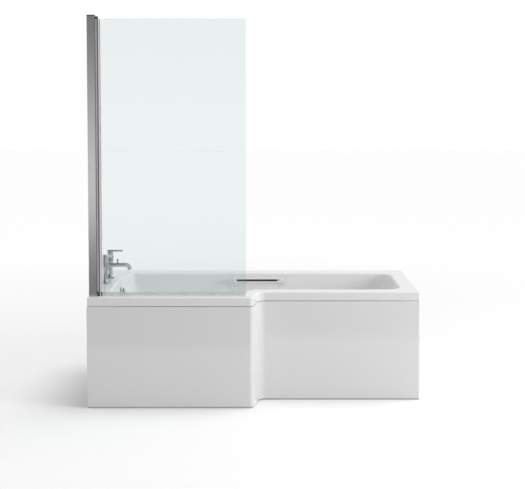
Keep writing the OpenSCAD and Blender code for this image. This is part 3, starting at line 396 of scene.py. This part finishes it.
SHELL_LOW, SHELL_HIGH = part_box("bath_shell")
BATH_L = SHELL_HIGH.x - SHELL_LOW.x
WIDE_W = SHELL_HIGH.y - SHELL_LOW.y
RIM_Z = SHELL_HIGH.z
NARROW_W = 0.700
STEP_W = WIDE_W - NARROW_W
LIP_H = 0.045
SHELL_T = 0.005
RIM_TAP, RIM_FOOT, RIM_BACK = 0.085, 0.074, 0.098
RIM_WIDE, RIM_NARROW, RIM_STEP = 0.074, 0.074, 0.058
BASIN_D = 0.420
FLOOR_Z = RIM_Z - BASIN_D
SLOPE_TAP = math.tan(math.radians(10))
SLOPE_FOOT = math.tan(math.radians(26))
SLOPE_SIDE = math.tan(math.radians(6))
EDGE_R, INNER_R, FLOOR_R = 0.006, 0.008, 0.060
STEP_X = 0.836
STEP_LEAN = math.radians(10)
STEP_OUT_R, STEP_IN_R = 0.022, 0.045
END_R = 0.005
RIM_CORNERS = (0.060, 0.050, 0.060, 0.095, 0.080, 0.024, 0.150)
FLOOR_CORNERS = (0.080, 0.060, 0.060, 0.080, 0.120, 0.040, 0.150)
TAP_SLANT = 0.042                   # the tap end's wall slants in behind the overflow
TAP_SLANT_FROM = 0.545
LEAST_R = 0.001
STEP_IN = 2                         # place of the step's inner corner among the outer ones
CORNER_STEPS = 20
FLOOR_STEPS, WALL_STEPS, INNER_STEPS, EDGE_STEPS = 12, 6, 8, 6
TAP_HOLE_R, WASTE_HOLE_R, OVERFLOW_HOLE_R = 0.016, 0.026, 0.024
DRILL_L = 0.06
DRILL_SIDES = 64
SMOOTH_UNDER = 30                   # degrees between faces of the two large pieces


def from_bath(points):
    """Points from the bath's tap end and wide front to the frame."""
    return [(SHELL_LOW.x + x, SHELL_LOW.y + y) for x, y in points]


def step_side(y, inset):
    """X of the step's side at depth y, moved back by an inset square to it."""
    return STEP_X + y * math.tan(STEP_LEAN) - inset / math.cos(STEP_LEAN)


def outer_corners(inset):
    """Corners of the outline, moved in by an inset, from the tap end's front corner on."""
    near, far = inset, STEP_W + inset
    return from_bath([
        (inset, near), (step_side(near, inset), near), (step_side(far, inset), far),
        (BATH_L - inset, far), (BATH_L - inset, WIDE_W - inset), (inset, WIDE_W - inset),
    ])


def outer_radii(inset):
    """Radii of those corners: an inset widens the step's inner one and tightens the rest."""
    plain = [END_R, STEP_OUT_R, STEP_IN_R, END_R, END_R, END_R]
    return [max(r + (inset if k == STEP_IN else -inset), LEAST_R) for k, r in enumerate(plain)]


def basin_corners(inset, height):
    """Corners of the basin at a height, from the tap end's front corner on."""
    depth = RIM_Z - height
    side = INNER_R + depth * SLOPE_SIDE + inset
    left = RIM_TAP + INNER_R + depth * SLOPE_TAP + inset
    right = BATH_L - RIM_FOOT - INNER_R - depth * SLOPE_FOOT - inset
    wide, narrow = RIM_WIDE + side, STEP_W + RIM_NARROW + side
    back = WIDE_W - RIM_BACK - side
    return from_bath([
        (left, wide), (step_side(wide, RIM_STEP + side), wide),
        (step_side(narrow, RIM_STEP + side), narrow), (right, narrow),
        (right, back), (left + TAP_SLANT, back), (left, TAP_SLANT_FROM),
    ])


def basin_radii(height):
    """Corner radii of the basin, which grow from the rim down to the floor."""
    deep = (RIM_Z - height) / BASIN_D
    return [rim + (floor - rim) * deep for rim, floor in zip(RIM_CORNERS, FLOOR_CORNERS)]


def quarter(steps):
    """Sine and cosine pairs over a quarter turn."""
    angles = [math.pi / 2 * k / steps for k in range(steps + 1)]
    return [(math.sin(a), math.cos(a)) for a in angles]


def basin_section():
    """Inset and height of the basin's rings, from its floor up to the rim."""
    floor = [(FLOOR_R - FLOOR_R * s, FLOOR_Z + FLOOR_R - FLOOR_R * c)
             for s, c in quarter(FLOOR_STEPS)]
    tall = RIM_Z - INNER_R - FLOOR_Z - FLOOR_R
    wall = [(0, FLOOR_Z + FLOOR_R + tall * k / WALL_STEPS) for k in range(1, WALL_STEPS)]
    top = [(-INNER_R + INNER_R * c, RIM_Z - INNER_R + INNER_R * s)
           for s, c in quarter(INNER_STEPS)]
    return floor + wall + top


def lip_section():
    """Inset and height of the rim's rings, from its flat top down the lip."""
    edge = [(EDGE_R - EDGE_R * s, RIM_Z - EDGE_R + EDGE_R * c) for s, c in quarter(EDGE_STEPS)]
    return edge + [(0, RIM_Z - LIP_H)]


def cut_holes(piece, holes):
    """Drills round holes: each is a point, a direction and a radius."""
    cutters = bmesh.new()
    for point, direction, radius in holes:
        turn = Vector(direction).to_track_quat("Z", "Y").to_matrix().to_4x4()
        place = Matrix.Translation(point) @ turn
        bmesh.ops.create_cone(cutters, cap_ends=True, segments=DRILL_SIDES, radius1=radius,
                              radius2=radius, depth=DRILL_L, matrix=place)
    cutter = new_object("cutter", cutters)
    boolean = piece.modifiers.new("holes", "BOOLEAN")
    boolean.object = cutter
    boolean.operation = "DIFFERENCE"
    boolean.solver = "EXACT"
    applied(piece)
    bpy.data.objects.remove(cutter)


def make_shell():
    """Moulded basin and lip, with holes for the taps, the waste and the overflow."""
    mesh = bmesh.new()
    basin = [add_ring(mesh, basin_corners(inset, z), basin_radii(z), z, CORNER_STEPS)
             for inset, z in basin_section()]
    lip = [add_ring(mesh, outer_corners(inset), outer_radii(inset), z, CORNER_STEPS)
           for inset, z in lip_section()]
    bridge(mesh, basin)
    bridge(mesh, lip)
    bmesh.ops.contextual_create(mesh, geom=basin[0])
    bmesh.ops.triangle_fill(mesh, use_beauty=True, use_dissolve=False, edges=basin[-1] + lip[0])
    up = Vector((0, 0, 1))
    face_outwards(mesh, up)
    shell = new_object("moulded_bath_shell", mesh)
    thicken(shell, SHELL_T)
    dial = next(joint for joint in frame["joints"] if joint["name"] == "dial_turn")
    cut_holes(shell, [
        (over("hot_cartridge", RIM_Z), up, TAP_HOLE_R),
        (over("cold_cartridge", RIM_Z), up, TAP_HOLE_R),
        (over("waste_flange", FLOOR_Z), up, WASTE_HOLE_R),
        (Vector(dial["pos_m"]), dial["axis"], OVERFLOW_HOLE_R),
    ])
    shade(shell, SMOOTH_UNDER)
    dress(shell, "bath", "shell_acrylic", "bath_shell")


# ---- front panel -----------------------------------------------------------

PANEL_LOW, PANEL_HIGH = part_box("front_panel")
PANEL_T = 0.003
PROUD = SHELL_LOW.y - PANEL_LOW.y
PANEL_RETURN = 0.024
PANEL_CORNER_STEPS, PANEL_TOP_STEPS = 16, 5
RECESS_FOOT, RECESS_TOP = 0.0022, 0.002         # depth of the recess along the panel's foot
RECESS_H, RECESS_EDGE_H = 0.0055, 0.0075
GUARD = 0.02                                    # ring that keeps the face flat under its edge
TOP_START, TOP_END = 0.002, 0.001               # rings near both ends of the flat top


def panel_corners(inset):
    """Corners of the panel's front, then the far ends of the short returns at its two ends."""
    back = PANEL_RETURN - PROUD
    front = outer_corners(inset)[:4]
    return front + from_bath([(BATH_L - inset, STEP_W + back), (inset, back)])


def panel_radii(inset):
    return outer_radii(inset)[:4] + [0, 0]


def panel_section():
    """Inset and height of the panel's rings, from its foot up and back along its top."""
    low, top = PANEL_LOW.z, PANEL_HIGH.z
    face = [(-PROUD + RECESS_FOOT, low), (-PROUD + RECESS_TOP, low + RECESS_H),
            (-PROUD, low + RECESS_EDGE_H), (-PROUD, top - PANEL_T - GUARD)]
    edge = [(-PROUD + PANEL_T * (1 - c), top - PANEL_T + PANEL_T * s)
            for s, c in quarter(PANEL_TOP_STEPS)]
    flat = [(-PROUD + PANEL_T + TOP_START, top), (-PROUD + PANEL_RETURN - TOP_END, top)]
    return face + edge + flat


def make_panel():
    """One-piece stepped panel, open at the back."""
    mesh = bmesh.new()
    bands = [add_ring(mesh, panel_corners(inset), panel_radii(inset), z, PANEL_CORNER_STEPS)
             for inset, z in panel_section()]
    for band in bands:
        closing = max(band, key=lambda edge: edge.calc_length())    # along the open back
        band.remove(closing)
        bmesh.ops.delete(mesh, geom=[closing], context="EDGES")
    bridge(mesh, bands)
    face_outwards(mesh, Vector((0, -1, 0)))
    panel = new_object("moulded_front_panel", mesh)
    thicken(panel, PANEL_T)
    shade(panel, SMOOTH_UNDER)
    dress(panel, "bath", "panel_acrylic", "front_panel")


# ---- pivot foot ------------------------------------------------------------

FOOT_INSET = 0.001
FOOT_FLARE = 0.0008
FOOT_BEVEL, FOOT_BEVEL_STEPS = 0.0008, 2
FOOT_SIDES = 48
FOOT_SMOOTH_UNDER = 35
SHARP = 1                           # radians between a cap and the side, at least


def make_pivot_foot():
    """Round foot that stands on the rim and carries the bottom pivot; its black also paints the shadow line at the
    pivot's foot.
    """
    low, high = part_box("bottom_pivot")
    radius = (high.x - low.x) / 2 - FOOT_INSET
    tall = low.z - RIM_Z
    place = Matrix.Translation(over("bottom_pivot", RIM_Z + tall / 2))
    mesh = bmesh.new()
    bmesh.ops.create_cone(mesh, cap_ends=True, segments=FOOT_SIDES, radius1=radius + FOOT_FLARE,
                          radius2=radius, depth=tall, matrix=place)
    rims = [edge for edge in mesh.edges if edge.calc_face_angle(0) > SHARP]
    bmesh.ops.bevel(mesh, geom=rims, offset=FOOT_BEVEL, offset_type="OFFSET", affect="EDGES",
                    segments=FOOT_BEVEL_STEPS, profile=0.5, material=-1)
    foot = new_object("pivot_foot", mesh)
    shade(foot, FOOT_SMOOTH_UNDER)
    dress(foot, "bath", "black_plastic")


# ---- finishes --------------------------------------------------------------

FINE_GRAIN = 900                    # scale of the grain on moulded plastic and rubber
DRAWN = (40, 40, 0.4)               # stretch of the grain along an upright extrusion
DRAWN_SCALE = 30
FOOT_SHADE_TONE = 0.47                    # painted shade: a dark band along the panel's foot, where it meets the floor
FOOT_SHADE_H = 0.0065
BELOW_FLOOR = -1
SHADED_HALF_FROM, JAW_FROM, SLOT_FROM = 0.0095, 0.0165, 0.0228      # from the hinge post's edge: painted shade on the post's round far half, then a jaw painted near white for the bright background seen through a clear seal
CLEAR_FROM = 0.007                  # from the seal end's edge
CAP_H = 0.006                       # dark cap on the two wall profiles
REFLECTION_BAND = (0.45, 0.70)                 # painted reflection: the dial is pale between these shares of its depth
CLOUD = 0.992                       # tone of the darker clouds in acrylic, as a share
SATIN = (0.62, 0.63, 0.64), (0.72, 0.73, 0.74)


def acrylic(name, tone, shade_top=BELOW_FLOOR):
    """Gloss acrylic: faint ripples, a little change of shine, and painted shade in a dark band at the foot."""
    material, tree = new_material(name)
    ripple = tree.noise(5, 2)
    haze = tree.noise(26, 4)
    cloud = tree.tint(tree.noise(3, 2), [tone * CLOUD] * 3, [tone] * 3)
    # painted shade: the colour is darker below the given height, along the panel's foot
    colour = tree.tint(tree.along("Z") < shade_top, cloud, [FOOT_SHADE_TONE] * 3)
    finish_off(tree, tree.principled(
        Base_Color=colour, Roughness=0.04 + haze * 0.03, IOR=1.49,
        Normal=tree.bump(ripple, 0.0003, 0.5)))
    return material


def metal(name, low, high, rough, stretch=(1, 1, 1), grain=60, bare=1.0):
    """Metal with drawn or cast grain; bare is how metallic it is."""
    material, tree = new_material(name)
    lines = tree.noise(grain, 3, stretch)
    finish_off(tree, tree.principled(
        Base_Color=tree.tint(lines, low, high), Metallic=bare,
        Roughness=rough + (lines - 0.5) * rough * 0.5))
    return material


def moulded(name, low, high, rough):
    """Moulded plastic or rubber with a fine grain."""
    material, tree = new_material(name)
    fine = tree.noise(FINE_GRAIN, 2)
    broad = tree.noise(14, 3)
    finish_off(tree, tree.principled(
        Base_Color=tree.tint(broad, low, high), Roughness=rough + (fine - 0.5) * 0.1,
        Normal=tree.bump(fine, 0.0002, 0.4)))
    return material


def post_metal(name):
    """Satin aluminium post with painted shade on its round far half, a jaw painted near white for the bright
    background seen through a clear seal, and a dark slot for the glass.
    """
    material, tree = new_material(name)
    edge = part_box("hinge_post")[0].x
    along = tree.along("X")
    # painted shade: the round post's far half is dark, as its shaded side
    shaded_half = along > edge + SHADED_HALF_FROM
    jaw = along > edge + JAW_FROM
    slot = along > edge + SLOT_FROM
    lines = tree.noise(DRAWN_SCALE, 3, DRAWN)
    bare = tree.tint(lines, (0.78, 0.79, 0.80), (0.88, 0.89, 0.90))
    dark = tree.tint(shaded_half, bare, (0.20, 0.20, 0.21))
    # painted light: the jaw is near white for the bright background seen through a clear seal, and grey past the
    # slot's edge
    pale = tree.tint(slot, (0.96, 0.97, 0.97), (0.42, 0.43, 0.44))
    finish_off(tree, tree.principled(
        Base_Color=tree.tint(jaw, dark, pale), Metallic=(1 - jaw) * (0.55 + shaded_half * 0.45),
        Roughness=0.3 + lines * 0.1))
    return material


def end_cap(name):
    """Black end of the seal, with a clear part that carries on the extrusion."""
    material, tree = new_material(name)
    pale = tree.along("X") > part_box("seal_end")[0].x + CLEAR_FROM
    fine = tree.noise(FINE_GRAIN, 2)
    black = tree.tint(fine, (0.05, 0.05, 0.05), (0.08, 0.08, 0.08))
    finish_off(tree, tree.principled(
        Base_Color=tree.tint(pale, black, (0.62, 0.65, 0.66)), Roughness=0.4 + fine * 0.1,
        Normal=tree.bump(fine, 0.0002, 0.4)))
    return material


def clear(name, tint, rough, index):
    """Glass that lets the lamps' light through, paler where the gasket grips it."""
    material, tree = new_material(name)
    haze = tree.noise(6, 2)
    held = tree.along("X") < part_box("glass_gasket")[1].x
    colour = tree.tint(haze, tint, [min(t * 1.01, 1) for t in tint])
    body = tree.principled(Base_Color=tree.tint(held, colour, (0.97, 0.98, 0.98)),
                           Roughness=rough, IOR=index, Transmission_Weight=1.0,
                           Specular_IOR_Level=0.25)
    shadow = tree.add("LightPath", output="Is Shadow Ray")
    passed = tree.add("BsdfTransparent", inputs={"Color": tint})
    finish_off(tree, tree.add("MixShader", inputs={0: shadow, 1: body, 2: passed}))
    return material


def capped_metal(name, node):
    """Satin aluminium section with a dark cap on its top end."""
    material, tree = new_material(name)
    cap = tree.along("Z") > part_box(node)[1].z - CAP_H
    lines = tree.noise(DRAWN_SCALE, 3, DRAWN)
    bare = tree.tint(lines, *SATIN)
    finish_off(tree, tree.principled(
        Base_Color=tree.tint(cap, bare, (0.10, 0.10, 0.10)), Metallic=1 - cap,
        Roughness=0.18 + lines * 0.05 + cap * 0.2))
    return material


def reflection_banded_metal(name, node):
    """Chrome dial painted dark for dark reflections, with a painted reflection: a pale band round the middle of
    its side.
    """
    material, tree = new_material(name)
    low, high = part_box(node)
    deep = high.x - low.x
    along = tree.along("X")
    # painted reflection: a pale, mostly matt band round the dial's side
    band = (along > low.x + deep * REFLECTION_BAND[0]) * (along < low.x + deep * REFLECTION_BAND[1])
    lines = tree.noise(60, 3)
    pale = tree.tint(lines, (0.94, 0.95, 0.95), (0.98, 0.98, 0.98))
    finish_off(tree, tree.principled(
        Base_Color=tree.tint(band, (0.22, 0.23, 0.23), pale), Metallic=1 - band * 0.8,
        Roughness=0.1 + lines * 0.05))
    return material


def seal(name, opacity):
    """Clear flexible extrusion: a faintly milky skin."""
    material, tree = new_material(name)
    drawn = tree.noise(40, 2, (0.3, 8, 8))
    finish_off(tree, tree.principled(
        Base_Color=tree.tint(drawn, (0.86, 0.89, 0.90), (0.93, 0.95, 0.96)),
        Roughness=0.22 + drawn * 0.08, Alpha=opacity + drawn * 0.08))
    return material


def wood(name, low, high, stretch):
    """Planed softwood: long grain with darker late wood."""
    material, tree = new_material(name)
    point = tree.place(stretch)
    warp = tree.add("TexNoise", inputs={"Vector": point, "Scale": 6, "Detail": 4})
    rings = tree.add("TexWave", {"bands_direction": "Y"},
                     {"Vector": point, "Scale": 9, "Distortion": 5, "Detail": 2})
    grain = (rings * 0.6 + warp * 0.4).clamped()
    finish_off(tree, tree.principled(
        Base_Color=tree.tint(grain, low, high), Roughness=0.62 + warp * 0.15,
        Normal=tree.bump(grain, 0.0006, 0.5)))
    return material


def chips(name):
    """Raw chipboard: pressed flakes in many browns."""
    material, tree = new_material(name)
    point = tree.place((1, 1, 1.6))
    flakes = tree.add("TexVoronoi", {"feature": "F1"}, {"Vector": point, "Scale": 240},
                      output="Color")
    flake = tree.add("SeparateColor", inputs={"Color": flakes}, output=0)
    browns = [(0.0, (0.30, 0.19, 0.09)), (0.35, (0.50, 0.36, 0.20)), (1.0, (0.68, 0.54, 0.34))]
    colour = tree.add("ValToRGB", {"stops": browns}, {"Fac": flake})
    finish_off(tree, tree.principled(
        Base_Color=colour, Roughness=0.8 + flake * 0.1, Normal=tree.bump(flake, 0.0004, 0.6)))
    return material


finishes = {
    "shell_acrylic": acrylic("shell_acrylic_gloss", 0.89),
    "panel_acrylic": acrylic("panel_acrylic_gloss", 0.85, PANEL_LOW.z + FOOT_SHADE_H),
    "chipboard": chips("raw_chipboard"),
    "timber": wood("planed_softwood", (0.60, 0.42, 0.22), (0.80, 0.64, 0.42), (0.6, 6, 6)),
    "zinc_steel": metal("zinc_plate", (0.50, 0.52, 0.55), (0.66, 0.68, 0.70), 0.32, grain=45),
    "foot_plastic": moulded("foot_nylon", (0.02, 0.02, 0.022), (0.035, 0.035, 0.038), 0.5),
    "satin_aluminium": metal("satin_aluminium_drawn", *SATIN, 0.2, DRAWN, DRAWN_SCALE),
    "black_plastic": moulded("black_moulding", (0.012, 0.012, 0.013), (0.02, 0.02, 0.022), 0.35),
    "safety_glass": clear("toughened_glass", (0.848, 0.894, 0.894), 0.0, 1.5),
    "clear_seal": seal("clear_extrusion", 0.24),
    "black_rubber": moulded("black_rubber_seal", (0.01, 0.01, 0.01), (0.018, 0.018, 0.018), 0.6),
    "cable_sheath": moulded("cable_sheath_black", (0.015, 0.015, 0.016),
                            (0.025, 0.025, 0.027), 0.45),
    "chrome": metal("bright_chrome", (0.50, 0.51, 0.52), (0.57, 0.58, 0.59), 0.07, grain=25),
    "brass": metal("turned_brass", (0.68, 0.50, 0.22), (0.80, 0.63, 0.32), 0.25, grain=80),
    "waste_plastic": moulded("white_polypropylene", (0.74, 0.74, 0.72), (0.80, 0.80, 0.78),
                             0.42),
}

WELD_UNDER = 1e-5
SPLIT_OVER = math.radians(32)


def finish_nodes():
    """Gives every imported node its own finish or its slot's, and smooth round faces."""
    own_finish = {
        "wall_profile": capped_metal("wall_profile_aluminium", "wall_profile"),
        "pivot_profile": capped_metal("pivot_profile_aluminium", "pivot_profile"),
        "top_pivot": moulded("top_pivot_black", (0.03, 0.03, 0.032), (0.05, 0.05, 0.053),
                             0.35),
        "glass_gasket": seal("clear_gasket", 0.05),
        "hinge_post": post_metal("satin_post_painted_shade_and_light"),
        "bottom_pivot": moulded("pivot_grey", (0.09, 0.09, 0.092), (0.13, 0.13, 0.133),
                                0.35),
        "seal_end": end_cap("seal_end_black"),
        # painted highlight: the grip's chrome is pale and partly matt, for the white highlights on its ends and
        # bar
        "grip_brackets": metal("grip_end_painted_highlight", (0.90, 0.91, 0.92), (0.95, 0.96, 0.97), 0.12,
                               bare=0.75),
        "grip_bar": metal("grip_bar_painted_highlight", (0.88, 0.89, 0.90), (0.93, 0.94, 0.95), 0.1,
                          bare=0.6),
        # painted reflection: knob and cover are far darker than chrome, for the dark studio mirrored in them
        "diverter_knob": metal("knob_chrome_painted_dark", (0.16, 0.16, 0.17), (0.22, 0.22, 0.23), 0.1),
        "overflow_cover": metal("cover_chrome_painted_dark", (0.26, 0.27, 0.27), (0.32, 0.33, 0.33), 0.1),
        "overflow_dial": reflection_banded_metal("dial_chrome_painted_reflection", "overflow_dial"),
    }
    for part in record["subparts"]:
        node = frame["nodes"][part["node"]]
        for slot in node.material_slots:
            slot.material = own_finish.get(part["node"], finishes[part["material_slot"]])
        node.data.polygons.foreach_set("use_smooth", [True] * len(node.data.polygons))
        weld = node.modifiers.new("weld", "WELD")
        weld.merge_threshold = WELD_UNDER
        split = node.modifiers.new("edges", "EDGE_SPLIT")
        split.split_angle = SPLIT_OVER


# ---- build -----------------------------------------------------------------

scene.view_settings.view_transform = "Standard"
make_camera()
make_world()
make_lights()
make_floor()
finish_nodes()
make_shell()
make_panel()
make_pivot_foot()
